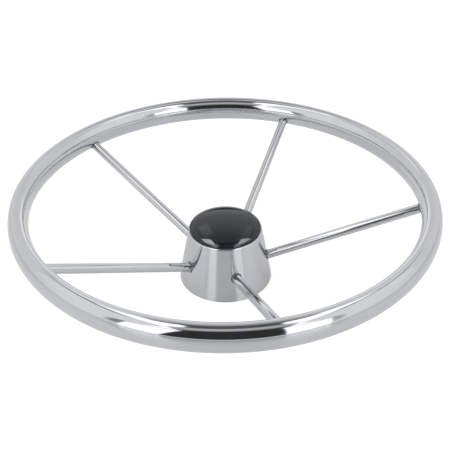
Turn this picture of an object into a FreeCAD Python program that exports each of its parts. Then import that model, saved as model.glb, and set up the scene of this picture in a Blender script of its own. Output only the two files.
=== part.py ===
import FreeCAD, Part
import math
import os
import Sketcher
from FreeCAD import Placement, Rotation, Vector

# A dished boat steering wheel of stainless steel that stands on the foot of its hub.
# +Z runs along the wheel's axis towards the helmsman, and the origin is the centre of
# the hub's foot. Everything that repeats is drawn at the first spoke, on +X, and each
# piece is then turned about the axis to its place.

doc = FreeCAD.newDocument("boat_steering_wheel")
sizes = doc.addObject("Spreadsheet::Sheet", "sizes")

# Driving dimensions, in millimetres and degrees.
DRIVING = [
    # The rim: a tube rolled into a ring, taller along the axis than it is wide.
    ("wheel_diameter", 394.0),
    ("rim_tube_width", 17.9),
    ("rim_tube_depth", 25.4),
    ("rim_nose_radius", 7.0),
    ("rim_tube_wall", 1.5),
    ("rim_height", 92.0),
    # The spokes: round bars that climb from the boss, which they enter at the root
    # height, to a place in the rim that lies below the rim's own middle by the drop.
    ("spoke_count", 5),
    ("spoke_diameter", 9.0),
    ("spoke_root_height", 15.1),
    ("spoke_drop", 5.5),
    ("spoke_reach_in_tube", 5.5),
    ("spoke_end_chamfer", 0.5),
    ("first_spoke_angle", -3.8),
    # The hub cone: a spun shell with its top turned in to carry the cap.
    ("foot_diameter", 91.5),
    ("cone_top_diameter", 71.0),
    ("cone_height", 55.0),
    ("cone_wall", 2.0),
    ("cone_edge_radius", 1.6),
    ("cone_inner_bend", 0.8),
    ("ledge_width", 4.5),
    # The plate that closes the foot, set back from the edge that the hub stands on.
    ("plate_thickness", 4.0),
    ("plate_setback", 1.0),
    # The boss: a turned barrel with the tapered bore and its keyway.
    ("boss_diameter", 38.0),
    ("boss_height", 36.0),
    ("boss_chamfer", 0.8),
    ("bore_mouth_diameter", 19.05),
    ("bore_taper_ratio", 12.0),
    ("bore_chamfer", 1.0),
    ("keyway_width", 4.76),
    ("keyway_depth", 2.4),
    ("socket_depth", 4.0),
    # Welds, the gap that each one bridges, and how closely the small ones seat.
    ("weld_gap", 0.1),
    ("weld_seat_gap", 0.02),
    ("rim_weld_radius", 1.3),
    ("cone_weld_radius", 1.3),
    ("boss_weld_leg", 4.0),
    ("foot_weld_depth", 3.0),
    # The centre cap: a moulded dome with a slit skirt that pushes into the mouth. Its
    # shoulder leans outwards by the tilt where the edge radius takes over.
    ("cap_setback", 0.7),
    ("cap_edge_height", 0.4),
    ("cap_edge_radius", 3.2),
    ("cap_shoulder_radius", 20.0),
    ("cap_shoulder_tilt", 33.0),
    ("cap_dome_radius", 130.0),
    ("cap_wall", 2.2),
    ("cap_skirt_depth", 9.0),
    ("cap_skirt_wall", 1.8),
    ("cap_skirt_gap", 0.6),
    ("cap_fit_gap", 0.06),
    ("cap_rib_width", 1.6),
    ("cap_rib_lead", 1.5),
    ("cap_slot_width", 3.0),
    ("cap_slot_depth", 7.0),
    ("cap_finger_count", 6),
]
for row, (alias, value) in enumerate(DRIVING, start=1):
    sizes.set("A%d" % row, "'" + alias)
    sizes.set("B%d" % row, "%g" % value)
    sizes.setAlias("B%d" % row, alias)
doc.recompute()


def size(expression):
    """The number that an expression on the sheet's sizes comes to now."""
    found = sizes.evalExpression(expression)
    return float(getattr(found, "Value", found))


# Expressions that several pieces share.
RIM_RADIUS = "(sizes.wheel_diameter - sizes.rim_tube_width) / 2"
SPOKE_END_HEIGHT = "sizes.rim_height - sizes.spoke_drop"
SPOKE_RADIUS = "sizes.spoke_diameter / 2"
HOLE_RADIUS = "sizes.spoke_diameter / 2 + sizes.weld_gap"
FOOT_RADIUS = "sizes.foot_diameter / 2"
CONE_TOP_RADIUS = "sizes.cone_top_diameter / 2"
CONE_SLOPE = "(sizes.foot_diameter - sizes.cone_top_diameter) / 2 / sizes.cone_height"
BOSS_RADIUS = "sizes.boss_diameter / 2"
SPOKE_SLOPE = "atan((%s - sizes.spoke_root_height) / (%s - %s))" % (
    SPOKE_END_HEIGHT, RIM_RADIUS, BOSS_RADIUS)
MOUTH_RADIUS = "(%s - sizes.ledge_width)" % CONE_TOP_RADIUS
PLATE_TOP = "sizes.plate_setback + sizes.plate_thickness"
SKIRT_RADIUS = "%s - sizes.cap_skirt_gap" % MOUTH_RADIUS


def cone_inside(height):
    """Radius of the cone's inner wall at a height above the foot."""
    return "%s - (%s) * (%s) - sizes.cone_wall * sqrt(1 + (%s) ^ 2)" % (
        FOOT_RADIUS, CONE_SLOPE, height, CONE_SLOPE)


def along_spoke(radius):
    """Place on the spoke's centre line, from its outer end, at a radius from the axis."""
    return "((%s) - (%s)) / cos(%s)" % (radius, RIM_RADIUS, SPOKE_SLOPE)


def new_body(label, turns="0"):
    """A body that is turned about the wheel's axis by a number of spoke spaces."""
    body = doc.addObject("PartDesign::Body", label)
    body.Label = label
    body.setExpression(
        ".Placement.Rotation.Angle",
        "(sizes.first_spoke_angle + (%s) * 360 / sizes.spoke_count) * 1 deg" % turns)
    return body


def new_sketch(body, role, name):
    """A sketch on one of the body's own origin planes."""
    plane = [f for f in body.Origin.OriginFeatures if f.Role == role][0]
    sketch = body.newObject("Sketcher::SketchObject", name)
    sketch.AttachmentSupport = [(plane, "")]
    sketch.MapMode = "FlatFace"
    return sketch


def spoke_line_sketch(body, name):
    """A sketch whose level axis is the spoke's centre line, with its origin at the rim."""
    sketch = new_sketch(body, "XZ_Plane", name)
    sketch.setExpression(".AttachmentOffset.Base.x", RIM_RADIUS)
    sketch.setExpression(".AttachmentOffset.Base.y", SPOKE_END_HEIGHT)
    sketch.setExpression(".AttachmentOffset.Rotation.Angle", SPOKE_SLOPE)
    return sketch


def bind(sketch, kind, place, expression):
    """A dimension of a sketch that follows an expression."""
    number = sketch.addConstraint(Sketcher.Constraint(kind, *place, size(expression)))
    sketch.setExpression("Constraints[%d]" % number, expression)


def hold_point(sketch, geometry, end, across, up):
    """Fixes a point of a sketch by its two coordinates; zero puts it on the axis."""
    for kind, expression, axis in (("DistanceX", across, -2), ("DistanceY", up, -1)):
        if expression is None:
            continue
        if expression == "0":
            sketch.addConstraint(Sketcher.Constraint("PointOnObject", geometry, end, axis))
        else:
            bind(sketch, kind, (-1, 1, geometry, end), expression)


def polygon(sketch, corners):
    """A closed outline of straight lines through corners given as two expressions."""
    points = [Vector(size(across), size(up), 0) for across, up in corners]
    first = None
    for start, end in zip(points, points[1:] + points[:1]):
        line = sketch.addGeometry(Part.LineSegment(start, end))
        first = line if first is None else first
    count = len(corners)
    for i in range(count):
        following = (i + 1) % count
        sketch.addConstraint(Sketcher.Constraint("Coincident", first + i, 2, first + following, 1))
    for i, (across, up) in enumerate(corners):
        before_across, before_up = corners[i - 1]
        level = i > 0 and before_up == up
        upright = i > 0 and before_across == across
        if level:
            sketch.addConstraint(Sketcher.Constraint("Horizontal", first + i - 1))
        if upright:
            sketch.addConstraint(Sketcher.Constraint("Vertical", first + i - 1))
        hold_point(sketch, first + i, 1, None if upright else across, None if level else up)


def oval(sketch, inset):
    """The rim's oval, two nose arcs and two flank arcs, with inset off every radius."""
    nose = "(sizes.rim_nose_radius - %s)" % inset
    lift = "(sizes.rim_tube_depth / 2 - sizes.rim_nose_radius)"
    half = "sizes.rim_tube_width / 2"
    flank = ("(((%s) ^ 2 + %s ^ 2 - sizes.rim_nose_radius ^ 2)"
             " / (2 * (%s - sizes.rim_nose_radius)) - %s)" % (half, lift, half, inset))
    middle = Vector(size(RIM_RADIUS), size("sizes.rim_height"), 0)
    nose_radius = size(nose)
    flank_radius = size(flank)
    rise = size(lift)
    spread = math.sqrt((flank_radius - nose_radius) ** 2 - rise ** 2)
    turn = math.atan2(rise, spread)
    arcs = [
        (Vector(0, rise, 0), nose_radius, turn, math.pi - turn),
        (Vector(spread, 0, 0), flank_radius, math.pi - turn, math.pi + turn),
        (Vector(0, -rise, 0), nose_radius, math.pi + turn, 2 * math.pi - turn),
        (Vector(-spread, 0, 0), flank_radius, -turn, turn),
    ]
    drawn = []
    for centre, radius, begin, end in arcs:
        circle = Part.Circle(middle + centre, Vector(0, 0, 1), radius)
        drawn.append(sketch.addGeometry(Part.ArcOfCircle(circle, begin, end)))
    for one, two in zip(drawn, drawn[1:] + drawn[:1]):
        sketch.addConstraint(Sketcher.Constraint("Tangent", one, 2, two, 1))
    hold_point(sketch, drawn[0], 3, RIM_RADIUS, "sizes.rim_height + " + lift)
    hold_point(sketch, drawn[2], 3, RIM_RADIUS, "sizes.rim_height - " + lift)
    for arc, expression in zip(drawn, (nose, flank, nose, flank)):
        bind(sketch, "Radius", (arc,), expression)


def revolve(body, sketch, name, axis="V_Axis"):
    """Turns a sketch into a solid about one of its own axes."""
    feature = body.newObject("PartDesign::Revolution", name)
    feature.Profile = sketch
    feature.ReferenceAxis = (sketch, [axis])
    feature.Angle = 360
    doc.recompute()
    return feature


def repeat(body, feature, name, count):
    """Copies a feature round the wheel's axis."""
    pattern = body.newObject("PartDesign::PolarPattern", name)
    pattern.Originals = [feature]
    pattern.Axis = ([f for f in body.Origin.OriginFeatures if f.Role == "Z_Axis"][0], [""])
    pattern.Angle = 360
    pattern.setExpression("Occurrences", count)
    body.Tip = pattern
    doc.recompute()
    return pattern


def cut_less(body, before, name):
    """Stops the build if a cut took nothing away."""
    if body.Shape.Volume > before - 1e-3:
        raise RuntimeError("%s cuts nothing" % name)


def spoke_holes(body, name, inner, outer):
    """Drills a hole along every spoke's line between two places on that line."""
    sketch = spoke_line_sketch(body, name + "_section")
    polygon(sketch, [(inner, "0"), (outer, "0"), (outer, HOLE_RADIUS), (inner, HOLE_RADIUS)])
    doc.recompute()
    before = body.Shape.Volume
    groove = body.newObject("PartDesign::Groove", name)
    groove.Profile = sketch
    groove.ReferenceAxis = (sketch, ["H_Axis"])
    groove.Angle = 360
    doc.recompute()
    cut_less(body, before, name)
    before = body.Shape.Volume
    repeat(body, groove, name + "_round", "sizes.spoke_count")
    cut_less(body, before, name + "_round")


def edges_round(shape, radius, height):
    """Names of the round edges that lie at a radius and a height on the wheel's axis."""
    names = []
    for number, edge in enumerate(shape.Edges, start=1):
        if not isinstance(edge.Curve, Part.Circle):
            continue
        centre = edge.Curve.Center
        on_axis = math.hypot(centre.x, centre.y) < 1e-4
        if on_axis and abs(centre.z - height) < 1e-4 and abs(edge.Curve.Radius - radius) < 1e-4:
            names.append("Edge%d" % number)
    return names


def round_over(body, base, name, radius, height, fillet):
    """Rounds the edge at a radius and a height with a fillet size from the sheet."""
    feature = body.newObject("PartDesign::Fillet", name)
    feature.Base = (base, edges_round(base.Shape, size(radius), size(height)))
    feature.setExpression("Radius", fillet)
    doc.recompute()
    return feature


def build_rim():
    """The hollow ring, with a hole through its inner wall for each spoke."""
    body = new_body("rim_tube")
    sketch = new_sketch(body, "YZ_Plane", "rim_section")
    oval(sketch, "0")
    oval(sketch, "sizes.rim_tube_wall")
    revolve(body, sketch, "rim_ring")
    inner = "-(sizes.rim_tube_width / 2) / cos(%s) - sizes.spoke_diameter" % SPOKE_SLOPE
    spoke_holes(body, "rim_hole", inner, "-sizes.rim_tube_wall / 2")
    return body


def build_spoke(number):
    """One round bar, chamfered at both ends, from its socket in the boss to the tube."""
    body = new_body("spoke_%d" % (number + 1), str(number))
    sketch = spoke_line_sketch(body, "spoke_%d_section" % (number + 1))
    inner = along_spoke("%s - sizes.socket_depth" % BOSS_RADIUS)
    outer = "-(sizes.rim_tube_width / 2 - sizes.rim_tube_wall - sizes.spoke_reach_in_tube)"
    chamfer = "sizes.spoke_end_chamfer"
    polygon(sketch, [
        (inner, "0"),
        (outer, "0"),
        (outer, "%s - %s" % (SPOKE_RADIUS, chamfer)),
        ("%s - %s" % (outer, chamfer), SPOKE_RADIUS),
        ("%s + %s" % (inner, chamfer), SPOKE_RADIUS),
        (inner, "%s - %s" % (SPOKE_RADIUS, chamfer)),
    ])
    revolve(body, sketch, "spoke_%d_bar" % (number + 1), "H_Axis")
    return body


def build_cone():
    """The spun hub shell: conical wall, rounded top edge, ledge and open mouth."""
    body = new_body("hub_cone")
    sketch = new_sketch(body, "YZ_Plane", "cone_section")
    under = "sizes.cone_height - sizes.cone_wall"
    polygon(sketch, [
        (FOOT_RADIUS, "0"),
        (CONE_TOP_RADIUS, "sizes.cone_height"),
        (MOUTH_RADIUS, "sizes.cone_height"),
        (MOUTH_RADIUS, under),
        (cone_inside(under), under),
        (cone_inside("0"), "0"),
    ])
    shell = revolve(body, sketch, "cone_shell")
    outer = round_over(body, shell, "cone_top_edge", CONE_TOP_RADIUS, "sizes.cone_height",
                       "sizes.cone_edge_radius")
    round_over(body, outer, "cone_bend", cone_inside(under), under, "sizes.cone_inner_bend")
    inner = along_spoke("%s - 3 * sizes.cone_wall" % CONE_TOP_RADIUS)
    spoke_holes(body, "cone_hole", inner, along_spoke("%s + 3 * sizes.cone_wall" % FOOT_RADIUS))
    return body


def build_plate():
    """The disc that closes the foot and carries the boss."""
    body = new_body("base_plate")
    sketch = new_sketch(body, "YZ_Plane", "plate_section")
    edge = "%s - sizes.weld_gap" % cone_inside(PLATE_TOP)
    hole = "%s + sizes.weld_gap" % BOSS_RADIUS
    polygon(sketch, [
        (hole, "sizes.plate_setback"),
        (edge, "sizes.plate_setback"),
        (edge, PLATE_TOP),
        (hole, PLATE_TOP),
    ])
    revolve(body, sketch, "plate_disc")
    return body


def build_boss():
    """The barrel: tapered bore, keyway between two spokes, and a socket for each spoke."""
    body = new_body("taper_boss")
    sketch = new_sketch(body, "YZ_Plane", "boss_section")
    low = "sizes.plate_setback"
    top = "sizes.boss_height"
    mouth = "sizes.bore_mouth_diameter / 2"
    narrow = "%s - (%s - %s) / sizes.bore_taper_ratio / 2" % (mouth, top, low)
    polygon(sketch, [
        ("%s + sizes.bore_chamfer" % mouth, low),
        ("%s - sizes.boss_chamfer" % BOSS_RADIUS, low),
        (BOSS_RADIUS, "%s + sizes.boss_chamfer" % low),
        (BOSS_RADIUS, "%s - sizes.boss_chamfer" % top),
        ("%s - sizes.boss_chamfer" % BOSS_RADIUS, top),
        (narrow, top),
        ("%s - sizes.bore_chamfer / sizes.bore_taper_ratio / 2" % mouth,
         "%s + sizes.bore_chamfer" % low),
    ])
    revolve(body, sketch, "boss_barrel")
    before = body.Shape.Volume
    slot = new_sketch(body, "XY_Plane", "keyway_section")
    reach = "-(%s + sizes.keyway_depth)" % mouth
    polygon(slot, [
        ("0", "-sizes.keyway_width / 2"),
        ("0", "sizes.keyway_width / 2"),
        (reach, "sizes.keyway_width / 2"),
        (reach, "-sizes.keyway_width / 2"),
    ])
    keyway = body.newObject("PartDesign::Pocket", "keyway")
    keyway.Profile = slot
    keyway.Type = "ThroughAll"
    keyway.Midplane = True
    doc.recompute()
    cut_less(body, before, "keyway")
    spoke_holes(body, "boss_socket", along_spoke("%s - sizes.socket_depth" % BOSS_RADIUS),
                along_spoke("%s + sizes.spoke_diameter" % BOSS_RADIUS))
    return body


def build_ring_weld(label, corners):
    """A weld that runs right round the hub's axis, with a straight-sided section."""
    body = new_body(label)
    sketch = new_sketch(body, "YZ_Plane", label + "_section")
    polygon(sketch, corners)
    revolve(body, sketch, label + "_bead")
    return body


def build_boss_weld():
    """The fillet weld between the boss and the top of the plate."""
    return build_ring_weld("boss_weld", [
        (BOSS_RADIUS, PLATE_TOP),
        ("%s + sizes.boss_weld_leg" % BOSS_RADIUS, PLATE_TOP),
        (BOSS_RADIUS, PLATE_TOP + " + sizes.boss_weld_leg"),
    ])


def build_foot_weld():
    """The weld that fills the groove between the plate's edge and the cone, from below."""
    low = "sizes.plate_setback"
    deep = "sizes.plate_setback + sizes.foot_weld_depth"
    edge = "%s - sizes.weld_gap" % cone_inside(PLATE_TOP)
    return build_ring_weld("foot_weld", [
        (edge, low),
        (cone_inside(low), low),
        (cone_inside(deep), deep),
        (edge, deep),
    ])


def build_cap():
    """The moulded cap: dome of even wall, rounded edge, and a skirt slit into fingers."""
    body = new_body("centre_cap")
    sketch = new_sketch(body, "YZ_Plane", "cap_section")
    seat = "sizes.cone_height"
    brim = "(%s - sizes.cap_setback)" % CONE_TOP_RADIUS
    inside = "%s - sizes.cap_skirt_wall" % SKIRT_RADIUS
    tip = "%s - sizes.cap_skirt_depth" % seat
    edge_level = "%s + sizes.cap_edge_height" % seat
    edge_middle = "(%s - sizes.cap_edge_radius)" % brim
    # The crown's curve is three arcs that run on from each other: dome, shoulder, edge.
    edge_radius = size("sizes.cap_edge_radius")
    shoulder_radius = size("sizes.cap_shoulder_radius")
    dome_radius = size("sizes.cap_dome_radius")
    tilt = math.radians(size("sizes.cap_shoulder_tilt"))
    edge_centre = Vector(size(edge_middle), size(edge_level), 0)
    shoulder_centre = edge_centre - Vector(math.sin(tilt), math.cos(tilt), 0) * (
        shoulder_radius - edge_radius)
    lean = math.asin(shoulder_centre.x / (dome_radius - shoulder_radius))
    dome_centre = shoulder_centre - Vector(math.sin(lean), math.cos(lean), 0) * (
        dome_radius - shoulder_radius)
    upright = math.pi / 2
    dome_arc = sketch.addGeometry(Part.ArcOfCircle(
        Part.Circle(dome_centre, Vector(0, 0, 1), dome_radius), upright - lean, upright))
    shoulder_arc = sketch.addGeometry(Part.ArcOfCircle(
        Part.Circle(shoulder_centre, Vector(0, 0, 1), shoulder_radius),
        upright - tilt, upright - lean))
    edge_arc = sketch.addGeometry(Part.ArcOfCircle(
        Part.Circle(edge_centre, Vector(0, 0, 1), edge_radius), 0, upright - tilt))
    inner_radius = dome_radius - size("sizes.cap_wall")
    inner_lean = math.asin(size(inside) / inner_radius)
    under_arc = sketch.addGeometry(Part.ArcOfCircle(
        Part.Circle(dome_centre, Vector(0, 0, 1), inner_radius),
        upright - inner_lean, upright))
    inner_top = Vector(size(inside), dome_centre.y + inner_radius * math.cos(inner_lean), 0)
    corners = [
        Vector(size(brim), size(edge_level), 0),
        Vector(size(brim), size(seat), 0),
        Vector(size(SKIRT_RADIUS), size(seat), 0),
        Vector(size(SKIRT_RADIUS), size(tip), 0),
        Vector(size(inside), size(tip), 0),
        inner_top,
    ]
    lines = [sketch.addGeometry(Part.LineSegment(one, two))
             for one, two in zip(corners, corners[1:])]
    crown_line = sketch.addGeometry(Part.LineSegment(
        Vector(0, dome_centre.y + inner_radius, 0), Vector(0, dome_centre.y + dome_radius, 0)))
    for link in [
        ("Tangent", dome_arc, 1, shoulder_arc, 2),
        ("Tangent", shoulder_arc, 1, edge_arc, 2),
        ("Tangent", edge_arc, 1, lines[0], 1),
        ("Coincident", lines[0], 2, lines[1], 1),
        ("Coincident", lines[1], 2, lines[2], 1),
        ("Coincident", lines[2], 2, lines[3], 1),
        ("Coincident", lines[3], 2, lines[4], 1),
        ("Coincident", lines[4], 2, under_arc, 1),
        ("Coincident", under_arc, 2, crown_line, 1),
        ("Coincident", crown_line, 2, dome_arc, 2),
        ("Coincident", under_arc, 3, dome_arc, 3),
        ("PointOnObject", dome_arc, 3, -2),
        ("PointOnObject", crown_line, 1, -2),
        ("PointOnObject", crown_line, 2, -2),
        ("Vertical", lines[0]),
        ("Horizontal", lines[1]),
        ("Vertical", lines[2]),
        ("Horizontal", lines[3]),
        ("Vertical", lines[4]),
    ]:
        sketch.addConstraint(Sketcher.Constraint(*link))
    hold_point(sketch, lines[1], 1, brim, seat)
    hold_point(sketch, lines[2], 1, SKIRT_RADIUS, None)
    hold_point(sketch, lines[3], 1, None, tip)
    hold_point(sketch, lines[4], 1, inside, None)
    hold_point(sketch, edge_arc, 3, None, edge_level)
    hold_point(sketch, edge_arc, 2, "%s + sizes.cap_edge_radius * sin(sizes.cap_shoulder_tilt * 1 deg)"
               % edge_middle, None)
    bind(sketch, "Radius", (edge_arc,), "sizes.cap_edge_radius")
    bind(sketch, "Radius", (shoulder_arc,), "sizes.cap_shoulder_radius")
    bind(sketch, "Radius", (dome_arc,), "sizes.cap_dome_radius")
    bind(sketch, "Radius", (under_arc,), "sizes.cap_dome_radius - sizes.cap_wall")
    revolve(body, sketch, "cap_shell")

    # Each finger of the skirt has one rib that grips the mouth.
    rib_section = new_sketch(body, "XY_Plane", "cap_rib_section")
    rib_section.setExpression(".AttachmentOffset.Base.z", "%s + sizes.cap_rib_lead" % tip)
    root = "%s - sizes.cap_skirt_wall / 2" % SKIRT_RADIUS
    grip = "%s - sizes.cap_fit_gap" % MOUTH_RADIUS
    polygon(rib_section, [
        (root, "-sizes.cap_rib_width / 2"),
        (grip, "-sizes.cap_rib_width / 2"),
        (grip, "sizes.cap_rib_width / 2"),
        (root, "sizes.cap_rib_width / 2"),
    ])
    rib = body.newObject("PartDesign::Pad", "cap_rib")
    rib.Profile = rib_section
    rib.setExpression("Length", "sizes.cap_skirt_depth - sizes.cap_rib_lead")
    doc.recompute()
    repeat(body, rib, "cap_ribs", "sizes.cap_finger_count")

    # A slot between each two fingers, cut up from the skirt's lower edge.
    slot_section = new_sketch(body, "XY_Plane", "cap_slot_section")
    slot_section.setExpression(".AttachmentOffset.Base.z", tip)
    slot_section.setExpression(".AttachmentOffset.Rotation.Angle",
                               "180 / sizes.cap_finger_count * 1 deg")
    polygon(slot_section, [
        ("%s - sizes.cap_skirt_wall" % inside, "-sizes.cap_slot_width / 2"),
        (MOUTH_RADIUS, "-sizes.cap_slot_width / 2"),
        (MOUTH_RADIUS, "sizes.cap_slot_width / 2"),
        ("%s - sizes.cap_skirt_wall" % inside, "sizes.cap_slot_width / 2"),
    ])
    before = body.Shape.Volume
    slot = body.newObject("PartDesign::Pocket", "cap_slot")
    slot.Profile = slot_section
    slot.Reversed = True
    slot.setExpression("Length", "sizes.cap_slot_depth")
    doc.recompute()
    cut_less(body, before, "cap_slot")
    before = body.Shape.Volume
    repeat(body, slot, "cap_slots", "sizes.cap_finger_count")
    cut_less(body, before, "cap_slots")
    return body


def spoke_rod(name, growth):
    """The first spoke's full round, made larger all round by a growth."""
    rod = doc.addObject("Part::Cylinder", name)
    rod.setExpression("Radius", "%s + %s" % (SPOKE_RADIUS, growth))
    rod.setExpression("Height", "(%s - %s) / cos(%s)" % (RIM_RADIUS, BOSS_RADIUS, SPOKE_SLOPE))
    rod.setExpression(".Placement.Base.x", BOSS_RADIUS)
    rod.setExpression(".Placement.Base.z", "sizes.spoke_root_height")
    rod.Placement.Rotation = Rotation(Vector(0, 1, 0), 90 - size(SPOKE_SLOPE))
    rod.setExpression(".Placement.Rotation.Angle", "90 deg - %s" % SPOKE_SLOPE)
    return rod


# Degrees of the rim that a weld is shaped against.
BLANK_ARC = 20


def rim_blank(name, growth):
    """A short length of the rim at the first spoke, solid, undrilled and grown all round."""
    section = doc.addObject("Sketcher::SketchObject", name + "_section")
    section.Placement = Placement(Vector(0, 0, 0), Rotation(Vector(1, 0, 0), 90))
    oval(section, "(0 - %s)" % growth)
    blank = doc.addObject("Part::Revolution", name)
    blank.Source = section
    blank.Axis = Vector(0, 0, 1)
    blank.Angle = BLANK_ARC
    blank.Solid = True
    blank.Symmetric = True
    return blank


def cone_blank(name, growth):
    """The outside of the hub cone, solid, undrilled and grown all round."""
    level = "%s * sqrt(1 + (%s) ^ 2)" % (growth, CONE_SLOPE)
    blank = doc.addObject("Part::Cone", name)
    blank.setExpression("Radius1", "%s + %s" % (FOOT_RADIUS, level))
    blank.setExpression("Radius2", "%s + %s" % (CONE_TOP_RADIUS, level))
    blank.setExpression("Height", "sizes.cone_height")
    # Its seam is turned away from the spoke.
    blank.Placement = Placement(Vector(0, 0, 0), Rotation(Vector(0, 0, 1), 180))
    return blank


def seam_edges(shape, rod, middle_radius):
    """Numbers of the edges where the rod's round meets a surface near a given radius."""
    start = rod.Placement.Base
    line = rod.Placement.Rotation.multVec(Vector(0, 0, 1))
    near = rod.Radius.Value * 2
    found = []
    for number, edge in enumerate(shape.Edges, start=1):
        if isinstance(edge.Curve, Part.Line):
            continue
        ends = (edge.FirstParameter + edge.LastParameter) / 2
        point = edge.valueAt(ends)
        on_rod = abs(point.distanceToLine(start, line) - rod.Radius.Value) < 1e-3
        if on_rod and abs(math.hypot(point.x, point.y) - middle_radius) < near:
            found.append(number)
    return found


def build_spoke_welds(label, blank, middle_radius, radius):
    """The small concave welds where the spokes meet the rim or the cone, one to a spoke."""
    rod = spoke_rod(label + "_rod", "0")
    joined = doc.addObject("Part::Fuse", label + "_joined")
    joined.Base = blank(label + "_blank", "0")
    joined.Tool = rod
    doc.recompute()
    rounded = doc.addObject("Part::Fillet", label + "_rounded")
    rounded.Base = joined
    rounded.Edges = [(number, size(radius), size(radius))
                     for number in seam_edges(joined.Shape, rod, size(middle_radius))]
    off_blank = doc.addObject("Part::Cut", label + "_off_blank")
    off_blank.Base = rounded
    off_blank.Tool = blank(label + "_seat", "sizes.weld_seat_gap")
    bead = doc.addObject("Part::Cut", label + "_bead")
    bead.Base = off_blank
    bead.Tool = spoke_rod(label + "_bore", "sizes.weld_seat_gap")
    doc.recompute()
    welds = []
    for number in range(int(size("sizes.spoke_count"))):
        weld = doc.addObject("Part::Compound", "%s_%d" % (label, number + 1))
        weld.Label = "%s_%d" % (label, number + 1)
        weld.Links = [bead]
        weld.setExpression(
            ".Placement.Rotation.Angle",
            "(sizes.first_spoke_angle + %d * 360 / sizes.spoke_count) * 1 deg" % number)
        welds.append(weld)
    return welds


pieces = [build_rim()]
pieces += [build_spoke(number) for number in range(int(size("sizes.spoke_count")))]
pieces += [build_cone(), build_plate(), build_boss(), build_boss_weld(), build_foot_weld()]
pieces.append(build_cap())
pieces += build_spoke_welds("rim_weld", rim_blank,
                            "%s - sizes.rim_tube_width / 2" % RIM_RADIUS,
                            "sizes.rim_weld_radius")
pieces += build_spoke_welds("cone_weld", cone_blank,
                            "(%s + %s) / 2" % (FOOT_RADIUS, CONE_TOP_RADIUS),
                            "sizes.cone_weld_radius")
doc.recompute()

# Nothing is written unless every object came out whole.
for item in doc.Objects:
    if "Invalid" in item.State or "Error" in item.State:
        raise RuntimeError("%s failed: %s" % (item.Label, item.State))
for piece in pieces:
    if piece.Shape.isNull() or not piece.Shape.isValid() or len(piece.Shape.Solids) != 1:
        raise RuntimeError("%s is not one whole solid" % piece.Label)

os.makedirs("parts", exist_ok=True)
for piece in pieces:
    piece.Shape.exportStep("parts/%s.step" % piece.Label)
    print("%-12s %10.1f mm3" % (piece.Label, piece.Shape.Volume))
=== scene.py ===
import math

import bmesh
import bpy
from mathutils import Matrix, Vector


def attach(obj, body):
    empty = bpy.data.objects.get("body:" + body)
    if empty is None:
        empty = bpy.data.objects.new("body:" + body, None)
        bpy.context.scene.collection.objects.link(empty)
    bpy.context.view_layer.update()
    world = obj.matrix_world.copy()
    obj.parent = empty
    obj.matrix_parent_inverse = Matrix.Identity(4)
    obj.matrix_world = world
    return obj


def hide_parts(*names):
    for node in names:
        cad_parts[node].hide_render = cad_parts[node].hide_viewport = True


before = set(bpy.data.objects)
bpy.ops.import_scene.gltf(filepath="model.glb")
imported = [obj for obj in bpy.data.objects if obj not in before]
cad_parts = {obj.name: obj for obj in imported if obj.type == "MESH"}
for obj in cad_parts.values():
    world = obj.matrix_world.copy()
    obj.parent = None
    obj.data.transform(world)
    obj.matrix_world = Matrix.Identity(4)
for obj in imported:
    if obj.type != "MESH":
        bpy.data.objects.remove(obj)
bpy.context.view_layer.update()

# The rim. A stainless tube, pressed oval and rolled into a ring, with a hole drilled
# through its inner wall for every spoke. It is taller along the wheel's axis than it is
# wide, and it is buffed to a mirror.
MM = 0.001
WHEEL_DIAMETER = 394 * MM
TUBE_WIDTH = 17.9 * MM
TUBE_DEPTH = 25.4 * MM
TUBE_WALL = 1.5 * MM
NOSE_RADIUS = 7 * MM
RIM_HEIGHT = 92 * MM
RING_STEPS = 360
SECTION_STEPS = 120
SPOKES = 5
FIRST_SPOKE = math.radians(-3.8)
SPOKE_DIAMETER = 9 * MM
SPOKE_DROP = 5.5 * MM
SPOKE_ROOT_HEIGHT = 15.1 * MM
BOSS_RADIUS = 19 * MM
HOLE_GAP = 0.1 * MM
HOLE_STEPS = 72
SHARP_EDGE = math.radians(35)

rim_radius = (WHEEL_DIAMETER - TUBE_WIDTH) / 2
spoke_end = Vector((rim_radius, 0, RIM_HEIGHT - SPOKE_DROP))
spoke_slope = math.atan2(spoke_end.z - SPOKE_ROOT_HEIGHT, rim_radius - BOSS_RADIUS)


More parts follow.
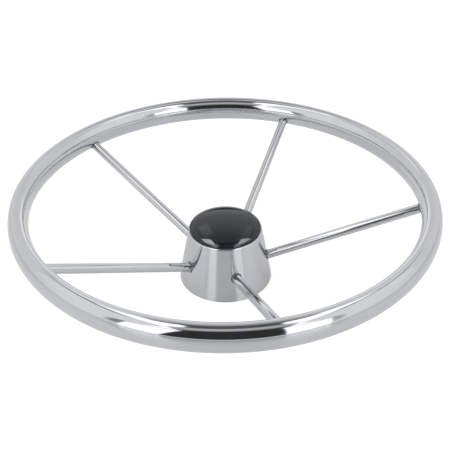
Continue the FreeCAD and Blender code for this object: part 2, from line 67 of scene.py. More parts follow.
class Wire:
    """A socket of a node tree that takes part in sums as a number does."""

    def __init__(self, tree, socket=None):
        self.tree = tree
        self.socket = socket

    def node(self, kind, sockets=None, out=0, **settings):
        """Adds a node, sets it, then fills its sockets with values or wires."""
        made = self.tree.nodes.new(kind)
        for name, value in settings.items():
            if name == "stops":
                ramp = made.color_ramp.elements
                while len(ramp) < len(value):
                    ramp.new(1.0)
                for stop, (place, colour) in zip(ramp, value):
                    stop.position = place
                    stop.color = (*colour, 1.0)
            else:
                setattr(made, name, value)
        for name, value in (sockets or {}).items():
            if isinstance(value, Wire):
                self.tree.links.new(value.socket, made.inputs[name])
            else:
                made.inputs[name].default_value = value
        return Wire(self.tree, made.outputs[out])

    def gather(self, socket, *wires):
        """Links wires to a socket of this wire's own node that takes several."""
        for wire in wires:
            self.tree.links.new(wire.socket, self.socket.node.inputs[socket])
        return self

    def end(self, kind, socket):
        """Adds the tree's last node and links this wire to it."""
        self.tree.links.new(self.socket, self.tree.nodes.new(kind).inputs[socket])

    def maths(self, operation, *values):
        """A Math node on this wire and other values, in that order."""
        filled = dict(enumerate((self, *values)))
        return self.node("ShaderNodeMath", filled, operation=operation)

    def __add__(self, other):
        return self.maths("ADD", other)

    __radd__ = __add__

    def __mul__(self, other):
        return self.maths("MULTIPLY", other)

    __rmul__ = __mul__

    def __sub__(self, other):
        return self.maths("SUBTRACT", other)

    def __rsub__(self, other):
        return self.node("ShaderNodeMath", {0: other, 1: self}, operation="SUBTRACT")

    def __truediv__(self, other):
        return self.maths("DIVIDE", other)

    def __neg__(self):
        return self.maths("MULTIPLY", -1.0)

    def rise(self, low, high, bottom=0.0, top=1.0):
        """Goes smoothly from bottom to top as this wire goes from low to high."""
        return self.node("ShaderNodeMapRange", {
            "Value": self, "From Min": low, "From Max": high, "To Min": bottom, "To Max": top,
        }, "Result", interpolation_type="SMOOTHSTEP")


def combine(x, y, z):
    """A vector of three values, at least one of them a wire."""
    wire = next(part for part in (x, y, z) if isinstance(part, Wire))
    return wire.node("ShaderNodeCombineXYZ", {0: x, 1: y, 2: z})


def rule(name, sizes):
    """A geometry node tree with named sizes: its wires by name, and the tree's own wire."""
    tree = bpy.data.node_groups.new(name, "GeometryNodeTree")
    tree.interface.new_socket("Geometry", in_out="INPUT", socket_type="NodeSocketGeometry")
    for size, value in sizes.items():
        whole = isinstance(value, int)
        kind = "NodeSocketInt" if whole else "NodeSocketFloat"
        tree.interface.new_socket(size, in_out="INPUT", socket_type=kind)
    tree.interface.new_socket("Geometry", in_out="OUTPUT", socket_type="NodeSocketGeometry")
    entry = tree.nodes.new("NodeGroupInput")
    wires = {socket.name: Wire(tree, socket) for socket in entry.outputs if socket.name}
    return wires, Wire(tree)


def round_the_axis(wire, shape, count, first):
    """Instances of a shape turned about the wheel's axis, spaced evenly from a first angle."""
    points = wire.node("GeometryNodePoints", {"Count": count})
    number = wire.node("GeometryNodeInputIndex")
    angle = number * (2 * math.pi) / count + first
    turn = wire.node("FunctionNodeEulerToRotation", {"Euler": combine(0.0, 0.0, angle)})
    return wire.node("GeometryNodeInstanceOnPoints", {
        "Points": points, "Instance": shape, "Rotation": turn})


def cut(wire, body, tools):
    """A closed mesh less the closed tools that cross it."""
    solid = wire.node("GeometryNodeRealizeInstances", {"Geometry": tools})
    less = wire.node("GeometryNodeMeshBoolean", {"Mesh 1": body},
                     operation="DIFFERENCE", solver="EXACT")
    return less.gather("Mesh 2", solid)


HOLE_SIZES = {
    "Spokes": SPOKES, "First Spoke": FIRST_SPOKE, "Hole Radius": SPOKE_DIAMETER / 2 + HOLE_GAP,
    "Spoke End X": spoke_end.x, "Spoke End Z": spoke_end.z, "Lean": math.pi / 2 - spoke_slope,
}


def drilled(wire, body, size):
    """A mesh with a hole along each spoke's line, between two places on that line."""
    drill = wire.node("GeometryNodeMeshCylinder", {
        "Vertices": HOLE_STEPS, "Radius": size["Hole Radius"],
        "Depth": size["Hole End"] - size["Hole Start"]})
    along = (size["Hole Start"] + size["Hole End"]) * 0.5
    set_out = wire.node("GeometryNodeTransform", {
        "Geometry": drill, "Translation": combine(0.0, 0.0, along)})
    leaning = wire.node("GeometryNodeTransform", {
        "Geometry": set_out, "Rotation": combine(0.0, size["Lean"], 0.0),
        "Translation": combine(size["Spoke End X"], 0.0, size["Spoke End Z"])})
    return cut(wire, body, round_the_axis(wire, leaning, size["Spokes"], size["First Spoke"]))


def piece_of(name, mesh, material=None):
    """A finished piece at the origin, smooth but for its sharp edges."""
    mesh.name = name
    if material is not None:
        mesh.materials.clear()
        mesh.materials.append(material)
    mesh.polygons.foreach_set("use_smooth", [True] * len(mesh.polygons))
    mesh.set_sharp_from_angle(angle=SHARP_EDGE)
    piece = bpy.data.objects.new(name, mesh)
    bpy.context.scene.collection.objects.link(piece)
    return piece


def grow(name, start, wire, shape, sizes, material):
    """Ends a rule with its shape, runs it on a start mesh and returns the plain piece."""
    real = wire.node("GeometryNodeRealizeInstances", {"Geometry": shape})
    smooth = wire.node("GeometryNodeSetShadeSmooth", {"Geometry": real})
    painted = wire.node("GeometryNodeSetMaterial", {"Geometry": smooth, "Material": material})
    painted.end("NodeGroupOutput", "Geometry")
    seed = bpy.data.objects.new(name + "_seed", start or bpy.data.meshes.new(name + "_seed"))
    bpy.context.scene.collection.objects.link(seed)
    modifier = seed.modifiers.new("rule", "NODES")
    modifier.node_group = wire.tree
    for item in wire.tree.interface.items_tree:
        if item.name in sizes and item.in_out == "INPUT":
            modifier[item.identifier] = sizes[item.name]
    bpy.context.view_layer.update()
    found = seed.evaluated_get(bpy.context.evaluated_depsgraph_get())
    mesh = bpy.data.meshes.new_from_object(found)
    bpy.data.objects.remove(seed)
    return piece_of(name, mesh)


def finish_of(name):
    """A new material, the wire of its tree and its surface node."""
    material = bpy.data.materials.new(name)
    material.use_nodes = True
    return material, Wire(material.node_tree), material.node_tree.nodes["Principled BSDF"]


def grain(place, scale, layers, roughness):
    """A cloudy or grainy pattern from 0 to 1, finer as its scale grows."""
    return place.node("ShaderNodeTexNoise", {
        "Vector": place, "Scale": scale, "Detail": layers, "Roughness": roughness}, "Fac")


def shades(pattern, colour, low, high):
    """A colour in two depths, each given as a level of the pattern and a factor."""
    stops = [(level, tuple(factor * part for part in colour)) for level, factor in (low, high)]
    return pattern.node("ShaderNodeValToRGB", {"Fac": pattern}, stops=stops)


def relief(pattern, strength, depth):
    """The slight ups and downs that a pattern gives a surface."""
    return pattern.node("ShaderNodeBump", {
        "Strength": strength, "Distance": depth, "Height": pattern}, "Normal")


def feed(wire, surface, **sockets):
    """Links wires to sockets of a surface node, or sets plain values there."""
    for name, value in sockets.items():
        socket = surface.inputs[name.replace("_", " ")]
        if isinstance(value, Wire):
            wire.tree.links.new(value.socket, socket)
        else:
            socket.default_value = value


MIRROR_STEEL = (0.63, 0.64, 0.665)
MIRROR_ROUGHNESS = 0.045
SMEAR_SCALE = 22.0
BUFFING_SCALE = 900.0
BUFFING_DEPTH = 0.02 * MM
mirror, wire, surface = finish_of("mirror_steel")
place = wire.node("ShaderNodeTexCoord", out="Object")
smear = grain(place, SMEAR_SCALE, layers=4.0, roughness=0.6)
buffing = grain(place, BUFFING_SCALE, layers=3.0, roughness=0.55)
feed(wire, surface, Metallic=1.0,
     Base_Color=shades(smear, MIRROR_STEEL, low=(0.3, 0.96), high=(0.7, 1.0)),
     Roughness=MIRROR_ROUGHNESS + 0.03 * smear + 0.015 * buffing,
     Normal=relief(buffing, strength=0.05, depth=BUFFING_DEPTH))

RIM_SIZES = {
    "Ring Radius": rim_radius, "Ring Height": RIM_HEIGHT, "Width": TUBE_WIDTH,
    "Depth": TUBE_DEPTH, "Nose Radius": NOSE_RADIUS, "Wall": TUBE_WALL,
    "Ring Steps": RING_STEPS, "Section Steps": SECTION_STEPS,
    "Hole Start": -TUBE_WIDTH, "Hole End": -TUBE_WALL / 2, **HOLE_SIZES,
}
size, wire = rule("rim_rule", RIM_SIZES)
# The section has a tight nose at the top and the bottom and a slack flank on each side.
half = size["Width"] / 2
nose = size["Nose Radius"]
lift = size["Depth"] / 2 - nose
flank = (half * half + lift * lift - nose * nose) / (2 * (half - nose))
spread = flank - half
# It is drawn by the direction that its surface faces, so its points crowd where it bends
# most.
turn = wire.node("GeometryNodeSplineParameter", out="Factor") * (2 * math.pi)
across = turn.maths("COSINE")
up = turn.maths("SINE")
on_nose = up.maths("ABSOLUTE").maths("GREATER_THAN", lift / (flank - nose))
ring = wire.node("GeometryNodeCurvePrimitiveCircle", {
    "Resolution": size["Ring Steps"], "Radius": size["Ring Radius"]}, "Curve")
skins = []
for inset in (0.0, size["Wall"]):
    radius = on_nose * nose + (1 - on_nose) * flank - inset
    sideways = across * radius - (1 - on_nose) * across.maths("SIGN") * spread
    upwards = up * radius + on_nose * up.maths("SIGN") * lift
    circle = wire.node("GeometryNodeCurvePrimitiveCircle", {
        "Resolution": size["Section Steps"], "Radius": 1.0}, "Curve")
    section = wire.node("GeometryNodeSetPosition", {
        "Geometry": circle, "Position": combine(sideways, upwards, 0.0)})
    skins.append(wire.node("GeometryNodeCurveToMesh", {
        "Curve": ring, "Profile Curve": section}))
outer_skin, inner_skin = skins
inner_skin = wire.node("GeometryNodeFlipFaces", {"Mesh": inner_skin})
tube = wire.node("GeometryNodeJoinGeometry").gather("Geometry", outer_skin, inner_skin)
raised = wire.node("GeometryNodeTransform", {
    "Geometry": tube, "Translation": combine(0.0, 0.0, size["Ring Height"])})
rim = grow("rim", None, wire, drilled(wire, raised, size), RIM_SIZES, mirror)
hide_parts("rim_tube")
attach(rim, "wheel")

# The spokes. Five round stainless bars, chamfered at both ends and polished like the
# rim. Each climbs from a socket in the boss, through the wall of the cone, to the tube.
SOCKET_DEPTH = 4 * MM
REACH_IN_TUBE = 5.5 * MM
SPOKE_CHAMFER = 0.5 * MM
SPOKE_STEPS = 72
ON_AXIS = 1e-9


def turned(outline, steps, closed=False):
    """A mesh turned about Z from points of radius and height. One on the axis is a pole."""
    bm = bmesh.new()
    angles = [2 * math.pi * step / steps for step in range(steps)]
    rows = []
    for radius, height in outline:
        if radius < ON_AXIS:
            rows.append([bm.verts.new((0, 0, height))])
            continue
        rows.append([bm.verts.new((radius * math.cos(angle), radius * math.sin(angle), height))
                     for angle in angles])
    pairs = list(zip(rows, rows[1:]))
    if closed:
        pairs.append((rows[-1], rows[0]))
    for one, two in pairs:
        if len(one) == len(two) == 1:
            continue
        for step in range(steps):
            after = (step + 1) % steps
            corners = [one[step % len(one)], one[after % len(one)],
                       two[after % len(two)], two[step % len(two)]]
            corners = [corner for i, corner in enumerate(corners) if corner not in corners[:i]]
            bm.faces.new(corners)
    bmesh.ops.recalc_face_normals(bm, faces=bm.faces)
    mesh = bpy.data.meshes.new("turned")
    bm.to_mesh(mesh)
    bm.free()
    return mesh


inner_end = (BOSS_RADIUS - SOCKET_DEPTH - rim_radius) / math.cos(spoke_slope)
outer_end = -(TUBE_WIDTH / 2 - TUBE_WALL - REACH_IN_TUBE)
bar_radius = SPOKE_DIAMETER / 2
bar = turned([
    (0, inner_end), (bar_radius - SPOKE_CHAMFER, inner_end),
    (bar_radius, inner_end + SPOKE_CHAMFER), (bar_radius, outer_end - SPOKE_CHAMFER),
    (bar_radius - SPOKE_CHAMFER, outer_end), (0, outer_end),
], SPOKE_STEPS)
bar.transform(Matrix.Translation(spoke_end)
              @ Matrix.Rotation(math.pi / 2 - spoke_slope, 4, "Y"))

ROUND_SIZES = {"Count": SPOKES, "First Angle": FIRST_SPOKE}
size, wire = rule("spoke_rule", ROUND_SIZES)
five = round_the_axis(wire, size["Geometry"], size["Count"], size["First Angle"])
spokes = grow("spokes", bar, wire, five, ROUND_SIZES, mirror)
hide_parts(*["spoke_%d" % (number + 1) for number in range(SPOKES)])
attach(spokes, "wheel")

# The hub cone. A stainless shell, spun to a cone with its top turned in as a ledge that
# carries the cap. It is polished round and round, less bright than the rim.
FOOT_RADIUS = 45.75 * MM
CONE_TOP_RADIUS = 35.5 * MM
CONE_HEIGHT = 55 * MM
CONE_WALL = 2 * MM
CONE_EDGE = 1.6 * MM
CONE_BEND = 0.8 * MM
LEDGE_WIDTH = 4.5 * MM
HOLE_REACH = 3 * CONE_WALL
CONE_STEPS = 288
CONE_ROWS = 40
CONE_EDGE_ROWS = 10
CONE_BEND_ROWS = 6
LEDGE_ROWS = 3


def arc(centre, radius, begin, end, steps):
    """Points of an arc in the plane of radius and height, angles in radians."""
    return [(centre[0] + radius * math.cos(begin + (end - begin) * step / steps),
             centre[1] + radius * math.sin(begin + (end - begin) * step / steps))
            for step in range(steps + 1)]


def straight(start, end, steps):
    """Points of a straight run, without its two ends."""
    return [(start[0] + (end[0] - start[0]) * step / steps,
             start[1] + (end[1] - start[1]) * step / steps) for step in range(1, steps)]


cone_lean = math.atan2(FOOT_RADIUS - CONE_TOP_RADIUS, CONE_HEIGHT)
mouth_radius = CONE_TOP_RADIUS - LEDGE_WIDTH


def bend(radius, inset, level):
    """Middle of an arc that joins the cone's leaning wall to its level ledge."""
    wall = FOOT_RADIUS - inset / math.cos(cone_lean)
    height = level - radius
    return (wall - height * math.tan(cone_lean) - radius / math.cos(cone_lean), height)


upright = math.pi / 2
ledge_under = CONE_HEIGHT - CONE_WALL
outer_bend = bend(CONE_EDGE, 0, CONE_HEIGHT)
inner_bend = bend(CONE_BEND, CONE_WALL, ledge_under)
outer_arc = arc(outer_bend, CONE_EDGE, cone_lean, upright, CONE_EDGE_ROWS)
inner_arc = arc(inner_bend, CONE_BEND, upright, cone_lean, CONE_BEND_ROWS)
foot = (FOOT_RADIUS, 0)
foot_inside = (FOOT_RADIUS - CONE_WALL / math.cos(cone_lean), 0)
cone_outline = [foot]
cone_outline += straight(foot, outer_arc[0], CONE_ROWS)
cone_outline += outer_arc
cone_outline += straight(outer_arc[-1], (mouth_radius, CONE_HEIGHT), LEDGE_ROWS)
cone_outline += [(mouth_radius, CONE_HEIGHT), (mouth_radius, ledge_under)]
cone_outline += inner_arc
cone_outline += straight(inner_arc[-1], foot_inside, CONE_ROWS // 4)
cone_outline += [foot_inside]
cone_shell = turned(cone_outline, CONE_STEPS, closed=True)

SATIN_STEEL = (0.69, 0.70, 0.725)
SATIN_ROUGHNESS = 0.09
TURNING_SCALE = (9.0, 9.0, 1500.0)
TURNING_DEPTH = 0.03 * MM
CLOUD_SCALE = 55.0
satin, wire, surface = finish_of("satin_steel")
place = wire.node("ShaderNodeTexCoord", out="Object")
lines = wire.node("ShaderNodeMapping", {"Vector": place, "Scale": TURNING_SCALE})
turning = grain(lines, 1.0, layers=4.0, roughness=0.6)
cloud = grain(place, CLOUD_SCALE, layers=3.0, roughness=0.5)
feed(wire, surface, Metallic=1.0,
     Base_Color=shades(turning, SATIN_STEEL, low=(0.25, 0.9), high=(0.75, 1.0)),
     Roughness=SATIN_ROUGHNESS + 0.05 * cloud + 0.04 * turning,
     Normal=relief(turning, strength=0.12, depth=TURNING_DEPTH))


def on_spoke(radius):
    """The place on the spoke's line, measured from its end, at a distance from the axis."""
    return (radius - rim_radius) / math.cos(spoke_slope)


CONE_HOLES = {"Hole Start": on_spoke(CONE_TOP_RADIUS - HOLE_REACH),
              "Hole End": on_spoke(FOOT_RADIUS + HOLE_REACH), **HOLE_SIZES}
size, wire = rule("cone_rule", CONE_HOLES)
cone = grow("cone", cone_shell, wire, drilled(wire, size["Geometry"], size), CONE_HOLES, satin)
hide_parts("hub_cone")
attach(cone, "wheel")

# The cap. One glossy black moulding: a shallow dome with a rounded edge that lies on the
# cone's ledge, and under it a skirt, slit into six fingers with a grip rib between each
# two slits, that pushes into the cone's mouth.
CAP_SETBACK = 0.7 * MM
CAP_EDGE_HEIGHT = 0.4 * MM
CAP_EDGE_RADIUS = 3.2 * MM
CAP_SHOULDER_RADIUS = 20 * MM
CAP_SHOULDER_TILT = math.radians(33)
CAP_DOME_RADIUS = 130 * MM
CAP_WALL = 2.2 * MM
SKIRT_DEPTH = 9 * MM
SKIRT_WALL = 1.8 * MM
SKIRT_GAP = 0.6 * MM
FIT_GAP = 0.06 * MM
RIB_WIDTH = 1.6 * MM
RIB_LEAD = 1.5 * MM
SLOT_WIDTH = 3 * MM
SLOT_DEPTH = 7 * MM
FINGERS = 6
CAP_STEPS = 288
CAP_EDGE_ROWS = 14
CAP_DOME_ROWS = 30
CAP_UNDER_ROWS = 20

brim = CONE_TOP_RADIUS - CAP_SETBACK
edge_middle = Vector((brim - CAP_EDGE_RADIUS, CONE_HEIGHT + CAP_EDGE_HEIGHT))
shoulder_middle = edge_middle - (CAP_SHOULDER_RADIUS - CAP_EDGE_RADIUS) * Vector(
    (math.sin(CAP_SHOULDER_TILT), math.cos(CAP_SHOULDER_TILT)))
inner_reach = CAP_DOME_RADIUS - CAP_SHOULDER_RADIUS
dome_lean = math.asin(shoulder_middle.x / inner_reach)
dome_middle = Vector((0, shoulder_middle.y - inner_reach * math.cos(dome_lean)))
under_radius = CAP_DOME_RADIUS - CAP_WALL
skirt_radius = mouth_radius - SKIRT_GAP
skirt_inside = skirt_radius - SKIRT_WALL
skirt_tip = CONE_HEIGHT - SKIRT_DEPTH
skirt_top = upright - math.asin(skirt_inside / under_radius)
tilted = upright - CAP_SHOULDER_TILT
leaning = upright - dome_lean
cap_outline = [(brim, CONE_HEIGHT)]
cap_outline += arc(edge_middle, CAP_EDGE_RADIUS, 0, tilted, CAP_EDGE_ROWS)
cap_outline += arc(shoulder_middle, CAP_SHOULDER_RADIUS, tilted, leaning, CAP_EDGE_ROWS)[1:]
cap_outline += arc(dome_middle, CAP_DOME_RADIUS, leaning, upright, CAP_DOME_ROWS)[1:]
cap_outline += arc(dome_middle, under_radius, upright, skirt_top, CAP_UNDER_ROWS)
cap_outline += [(skirt_inside, skirt_tip), (skirt_radius, skirt_tip),
                (skirt_radius, CONE_HEIGHT)]
cap_shell = turned(cap_outline, CAP_STEPS, closed=True)

CAP_BLACK = (0.008, 0.0095, 0.0135)
CAP_ROUGHNESS = 0.02
HAZE_SCALE = 60.0
black, wire, surface = finish_of("black_moulding")
place = wire.node("ShaderNodeTexCoord", out="Object")
haze = grain(place, HAZE_SCALE, layers=3.0, roughness=0.5)
feed(wire, surface, Base_Color=shades(haze, CAP_BLACK, low=(0.3, 1.0), high=(0.7, 1.3)),
     Roughness=CAP_ROUGHNESS + 0.03 * haze)

CAP_SIZES = {
    "Fingers": FINGERS, "Rib Root": skirt_radius - SKIRT_WALL / 2,
    "Rib Grip": mouth_radius - FIT_GAP, "Rib Width": RIB_WIDTH,
    "Rib Low": skirt_tip + RIB_LEAD, "Rib High": CONE_HEIGHT,
    "Slot Inside": skirt_inside - SKIRT_WALL, "Slot Outside": mouth_radius,
    "Slot Width": SLOT_WIDTH, "Slot Low": skirt_tip - SLOT_WIDTH,
    "Slot High": skirt_tip + SLOT_DEPTH,
}
size, wire = rule("cap_rule", CAP_SIZES)


def block(wire, inside, outside, width, low, high):
    """An upright block on the X axis between two radii and two heights."""
    cube = wire.node("GeometryNodeMeshCube", {
        "Size": combine(outside - inside, width, high - low)})
    middle = combine((inside + outside) * 0.5, 0.0, (low + high) * 0.5)
    return wire.node("GeometryNodeTransform", {"Geometry": cube, "Translation": middle})


rib = block(wire, size["Rib Root"], size["Rib Grip"], size["Rib Width"],
            size["Rib Low"], size["Rib High"])
slot = block(wire, size["Slot Inside"], size["Slot Outside"], size["Slot Width"],
             size["Slot Low"], size["Slot High"])
ribs = round_the_axis(wire, rib, size["Fingers"], 0.0)
slots = round_the_axis(wire, slot, size["Fingers"], math.pi / FINGERS)
real_ribs = wire.node("GeometryNodeRealizeInstances", {"Geometry": ribs})
ribbed = wire.node("GeometryNodeMeshBoolean", operation="UNION", solver="EXACT")
ribbed.gather("Mesh 2", size["Geometry"], real_ribs)
cap = grow("cap", cap_shell, wire, cut(wire, ribbed, slots), CAP_SIZES, black)
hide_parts("centre_cap")
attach(cap, "cap")

# The parts inside the hub and the welds. A disc closes the foot and a turned boss with
# a tapered, keyed bore stands on it, both welded in. A small, finely rippled weld rings
# each spoke where it meets the cone and the rim. The welds' steel is coloured darker:
# partly their own tone, partly painted shade of the joints.
SEAM_JOIN = 1e-6
# Dark weld colour: the weld's own tone, plus painted shade of the joint round each spoke's
# end.
WELD_STEEL_AND_SHADE = (0.18, 0.18, 0.19)
WELD_ROUGHNESS = 0.1
RIPPLE_SCALE = 700.0
RIPPLE_DEPTH = 0.05 * MM
weld_and_shade_finish, wire, surface = finish_of("weld_steel_and_shade")
place = wire.node("ShaderNodeTexCoord", out="Object")
ripple = grain(place, RIPPLE_SCALE, layers=2.0, roughness=0.5)
feed(wire, surface, Metallic=1.0,
     Base_Color=shades(ripple, WELD_STEEL_AND_SHADE, low=(0.3, 0.7), high=(0.7, 1.3)),
     Roughness=WELD_ROUGHNESS + 0.08 * ripple,
     Normal=relief(ripple, strength=0.2, depth=RIPPLE_DEPTH))


def smooth_copy(node, name, material):
    """A piece with the form of a node, its loose faces joined so that it shades evenly."""
    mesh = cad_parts[node].data.copy()
    bm = bmesh.new()
    bm.from_mesh(mesh)
    bmesh.ops.remove_doubles(bm, verts=bm.verts, dist=SEAM_JOIN)
    bm.to_mesh(mesh)
    bm.free()
    piece = piece_of(name, mesh, material)
    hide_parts(node)
    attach(piece, "wheel")


for node in ("base_plate", "taper_boss"):
    smooth_copy(node, node + "_finished", satin)
for node in ("boss_weld", "foot_weld"):
    smooth_copy(node, node + "_finished", weld_and_shade_finish)
for number in range(SPOKES):
    for node in ("rim_weld_%d" % (number + 1), "cone_weld_%d" % (number + 1)):
        smooth_copy(node, node + "_bead", weld_and_shade_finish)

# The studio. A plain, slightly glossy white floor keeps the wheel's soft shadow, under a
# canopy that only reflections show: two bright panels with dark outer borders that meet
# the floor beside the camera, and a dark opening between them.
WHITE = (1.0, 1.0, 1.0, 1.0)
FLOOR_HALF = 20.0
FLOOR_DROP = 0.1 * MM
FLOOR_COLOUR = (0.42, 0.42, 0.42, 1.0)
FLOOR_SEEN = 0.72
FLOOR_GLOSS = 0.2
FLOOR_IOR = 1.7


def bare_finish_of(name):
    """A new material without a surface node, and the wire of its tree."""
    material = bpy.data.materials.new(name)
    material.use_nodes = True
    material.node_tree.nodes.clear()
    return material, Wire(material.node_tree)


def parts_of(vector):
    """The X, Y and Z of a vector, as three wires."""
    split = vector.node("ShaderNodeSeparateXYZ", {"Vector": vector})
    return [Wire(vector.tree, split.socket.node.outputs[axis]) for axis in "XYZ"]


floor_mesh = bpy.data.meshes.new("floor")
floor_mesh.from_pydata([(x * FLOOR_HALF, y * FLOOR_HALF, -FLOOR_DROP)
                        for x, y in ((-1, -1), (1, -1), (1, 1), (-1, 1))], [], [(0, 1, 2, 3)])
floor_finish, wire = bare_finish_of("floor_white")
place = wire.node("ShaderNodeTexCoord", out="Object")
away = wire.node("ShaderNodeVectorMath", {0: place}, "Value", operation="LENGTH")
sight = wire.node("ShaderNodeLightPath", out="Is Camera Ray")
shine = wire.node("ShaderNodeLightPath", out="Is Glossy Ray")
# For reflections only, the floor glows with a painted pool of light: brightest 0.3 m from the
# axis and almost dark past 1.2 m.
painted_light_pool = away.rise(0.05, 0.28, 0.26, 0.36) - away.rise(0.3, 1.2, 0.0, 0.31)
glow = sight * FLOOR_SEEN + shine * painted_light_pool
painted = wire.node("ShaderNodeBsdfDiffuse", {"Color": FLOOR_COLOUR})
lit = wire.node("ShaderNodeEmission", {"Color": WHITE, "Strength": glow})
both = wire.node("ShaderNodeAddShader", {0: painted, 1: lit})
gloss = wire.node("ShaderNodeBsdfAnisotropic", {"Color": WHITE, "Roughness": FLOOR_GLOSS})
veil = wire.node("ShaderNodeFresnel", {"IOR": FLOOR_IOR})
glazed = wire.node("ShaderNodeMixShader", {0: shine * veil, 1: both, 2: gloss})
glazed.end("ShaderNodeOutputMaterial", "Surface")
floor_mesh.materials.append(floor_finish)
floor = bpy.data.objects.new("floor", floor_mesh)
bpy.context.scene.collection.objects.link(floor)

CANOPY_HEIGHT = 0.7
CANOPY_FOOT = 0.04
CANOPY_FRONT = -1.05
CANOPY_BACK = 0.6
CANOPY_HALF = 1.6
PANEL_BACK = 0.2
PANEL_GLOW = 1.7
PANEL_WAIST = 0.09
PANEL_REACH = 0.355
INNER_BLUR = 0.012
OUTER_BLUR = 0.02
BORDER_WIDTH = 0.065
BORDER_SHADE = 0.7
SEAM_SHADE = 0.4
LAMP_GLOW = 6.8
LAMP_REACH = 0.48
LAMP_FRONT_FADE = 0.5
LAMP_RIGHT_FADE = 0.3
LAMP_SHIFT = (0, 0.002, -0.002)
# The light in the opening, by the share of the way from its front to the panels' back.
OPENING_LIGHT = ((0.12, 0.04), (0.20, 0.18), (0.28, 0.33), (0.36, 0.50), (0.44, 0.62),
                 (0.54, 0.65), (0.58, 0.13), (0.88, 0.13), (0.92, 0.50))
canopy_mesh = bpy.data.meshes.new("canopy")
canopy_mesh.from_pydata(
    [(side * CANOPY_HALF, *line)
     for line in ((CANOPY_BACK, CANOPY_HEIGHT), (CANOPY_FRONT, CANOPY_HEIGHT),
                  (CANOPY_FRONT, CANOPY_FOOT)) for side in (-1, 1)],
    [], [(0, 1, 3, 2), (2, 3, 5, 4)])


def canopy_of(name, panel_glow, reach, waist=0.0, room_glow=0.0, front_fade=0.0,
              right_fade=0.0):
    """The canopy as one more stage piece, with its own levels of light."""
    material, wire = bare_finish_of(name)
    sideways, along, level = parts_of(wire.node("ShaderNodeTexCoord", out="Object"))
    fall = 1 - level / CANOPY_HEIGHT
    # Both panels are drawn by their distance from a middle line, which drifts right
    # toward the front and left down the wall.
    middle = 0.02 - 0.04 * along - 0.108 * fall
    offset = sideways - middle
    across = offset.maths("ABSOLUTE")
    right = offset.rise(-0.1, 0.1)
    # Both edges of a panel spread toward the front and down the wall. The inner ones
    # come closer over the wheel.
    nip = (-along).rise(-0.05, 0.1) * (1 - (-along).rise(0.3, 0.45))
    inner = (-along).rise(-0.1, 1.1, 0.22, 0.43) - waist * nip + 0.08 * fall
    outer = ((-along).rise(0.5, 1.05, reach, 0.82) + fall.rise(0.0, 0.12, 0.0, 0.23)
             + right * along.rise(-0.1, 0.4, 0.0, 0.11))
    beyond = across.rise(outer - OUTER_BLUR, outer + OUTER_BLUR)
    panel = across.rise(inner - INNER_BLUR, inner + INNER_BLUR) * (1 - beyond)
    seam = (-along).rise(0.86, 0.90) * (1 - fall.rise(0.0, 0.03))
    front = (-along).rise(0.02, 0.35)
    light = (panel * panel_glow * (1 - SEAM_SHADE * seam)
             * (1 - front_fade * front) * (1 - right_fade * right))
    # The dark borders fade toward the front of the ceiling and at the foot of the wall.
    # On the wall they are wider and softer, and on its right paler.
    border_end = outer + BORDER_WIDTH + fall.rise(0.0, 0.3, 0.0, 0.1) * (1 - 0.6 * right)
    fringe = 0.02 + fall.rise(0.0, 0.05, 0.0, 0.25)
    border = (across.rise(outer, outer + OUTER_BLUR)
              * (1 - across.rise(border_end, border_end + fringe))
              * (1 - 0.3 * right * fall.rise(0.0, 0.1))
              * (1 - fall.rise(0.5, 0.9, 0.0, 0.8))
              * (1 - (-along).rise(0.05, 0.3, 0.0, 0.85) * (1 - fall.rise(0.0, 0.05))))
    depth = (along - CANOPY_FRONT) / (PANEL_BACK - CANOPY_FRONT)
    opening = wire.node("ShaderNodeValToRGB", {"Fac": depth},
                        stops=[(share, (shade,) * 3) for share, shade in OPENING_LIGHT])
    room = opening * (1 - panel) * (1 - beyond) + beyond * (1 - BORDER_SHADE * border)
    cloth = wire.node("ShaderNodeEmission", {
        "Color": WHITE, "Strength": light + room_glow * room})
    clear = wire.node("ShaderNodeBsdfTransparent")
    if room_glow == 0:
        cloth = wire.node("ShaderNodeAddShader", {0: cloth, 1: clear})
    # Behind the panels only their borders run on, and the rest is clear.
    rear = along.maths("GREATER_THAN", PANEL_BACK)
    hidden = rear * (1 - room_glow * border)
    cloth = wire.node("ShaderNodeMixShader", {0: hidden, 1: cloth, 2: clear})
    cloth.end("ShaderNodeOutputMaterial", "Surface")
    mesh = canopy_mesh.copy()
    mesh.materials.append(material)
    canopy = bpy.data.objects.new(name, mesh)
    bpy.context.scene.collection.objects.link(canopy)
    canopy.visible_camera = False
    canopy.visible_diffuse = False
    canopy.visible_transmission = False
    canopy.visible_shadow = False
    return canopy


canopy_of("canopy", PANEL_GLOW, PANEL_REACH, waist=PANEL_WAIST, room_glow=1.0)
# The black gloss of the cap needs the panels as bright as real lamps, so it alone sees
# them once more, just inside the canopy.
lamps = canopy_of("canopy_lamps", LAMP_GLOW, LAMP_REACH, front_fade=LAMP_FRONT_FADE,
                  right_fade=LAMP_RIGHT_FADE)
lamps.location = LAMP_SHIFT
cap_only = bpy.data.collections.new("cap_only")
cap_only.objects.link(cap)
lamps.light_linking.receiver_collection = cap_only

# The room round the canopy. Reflections find pale walls, and behind the wheel one that
# darkens upwards and holds two window panes. The camera sees white, and every other ray
# finds one plain level.
DEGREES = 180 / math.pi
PLAIN_GLOW = 0.75
LEFT_PANE_GLOW = 0.45
RIGHT_PANE_GLOW = 0.28
world = bpy.data.worlds.new("studio")
world.use_nodes = True
world.cycles.sampling_method = "NONE"
world.node_tree.nodes.clear()
wire = Wire(world.node_tree)
x, y, z = parts_of(wire.node("ShaderNodeTexCoord", out="Generated"))
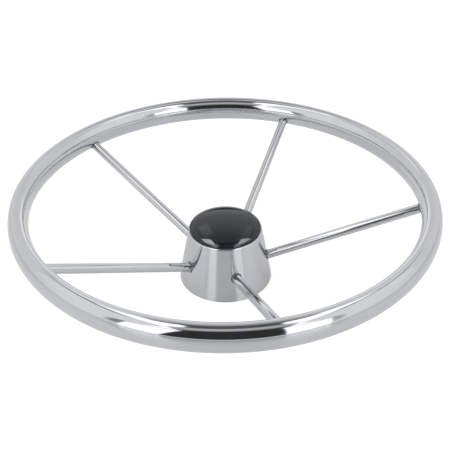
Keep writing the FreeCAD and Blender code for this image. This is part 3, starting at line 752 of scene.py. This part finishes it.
# Angles in degrees: round from the camera's side, and up from level.
side = x.maths("ARCTAN2", -y).maths("ABSOLUTE") * DEGREES
height = z.maths("ARCSINE") * DEGREES
behind = side.rise(145, 165)
wall = height.rise(10, 26, 1.1, 0.80) - height.rise(38, 62, 0.0, 0.45)
window = height.rise(34, 38) * (1 - height.rise(50, 54))
pane = x / y
left_pane = (-pane).rise(0.20, 0.25) * (1 - (-pane).rise(0.42, 0.48)) * LEFT_PANE_GLOW
right_pane = pane.rise(0.28, 0.33) * (1 - pane.rise(0.48, 0.54)) * RIGHT_PANE_GLOW
light = ((1 - behind) * side.rise(70, 110, 1.0, 0.85)
         + behind * (wall + window * (left_pane + right_pane)))
sight = wire.node("ShaderNodeLightPath", out="Is Camera Ray")
shine = wire.node("ShaderNodeLightPath", out="Is Glossy Ray")
strength = sight + (1 - sight) * (shine * light + (1 - shine) * PLAIN_GLOW)
sky = wire.node("ShaderNodeBackground", {"Color": WHITE, "Strength": strength})
sky.end("ShaderNodeOutputWorld", "Surface")
scene = bpy.context.scene
scene.world = world

# The overhead lamp. A wide soft panel, high on the left, lays the wheel's shadow on the
# floor and isn't seen in reflections.
OVERHEAD_WIDTH = 1.6
OVERHEAD_LENGTH = 1.2
OVERHEAD_WATTS = 14
OVERHEAD_PLACE = (-0.5, 0.4, 1.7)
lamp_data = bpy.data.lights.new("overhead_panel", "AREA")
lamp_data.shape = "RECTANGLE"
lamp_data.size = OVERHEAD_WIDTH
lamp_data.size_y = OVERHEAD_LENGTH
lamp_data.energy = OVERHEAD_WATTS
lamp = bpy.data.objects.new("overhead_panel", lamp_data)
lamp.location = OVERHEAD_PLACE
lamp.rotation_euler = (-lamp.location).to_track_quat("-Z", "Y").to_euler()
lamp.visible_glossy = False
scene.collection.objects.link(lamp)

# The camera. It stands where the photograph was taken from, in front of the wheel and a
# little above, turned by the small angles that the outlines there give.
CAMERA_DISTANCE = 647.6 * MM
CAMERA_ELEVATION = math.radians(32.563)
CAMERA_PAN = math.radians(0.0666)
CAMERA_TILT = math.radians(-2.517)
CAMERA_ROLL = math.radians(-0.597)
PHOTO_FOCAL_PIXELS = 692.1
PHOTO_WIDTH = 452
SENSOR_WIDTH = 36
FARTHEST_SEEN = 100
camera_data = bpy.data.cameras.new("camera")
camera_data.sensor_width = SENSOR_WIDTH
camera_data.lens = PHOTO_FOCAL_PIXELS / PHOTO_WIDTH * SENSOR_WIDTH
camera_data.clip_end = FARTHEST_SEEN
camera = bpy.data.objects.new("camera", camera_data)
stand = Vector((0, -math.cos(CAMERA_ELEVATION), math.sin(CAMERA_ELEVATION)))
camera.matrix_world = (
    Matrix.Translation(Vector((0, 0, RIM_HEIGHT)) + CAMERA_DISTANCE * stand)
    @ Matrix.Rotation(math.pi / 2 - CAMERA_ELEVATION, 4, "X")
    @ Matrix.Rotation(-CAMERA_PAN, 4, "Y")
    @ Matrix.Rotation(CAMERA_TILT, 4, "X")
    @ Matrix.Rotation(CAMERA_ROLL, 4, "Z"))
scene.collection.objects.link(camera)
scene.camera = camera
scene.view_settings.view_transform = "Standard"
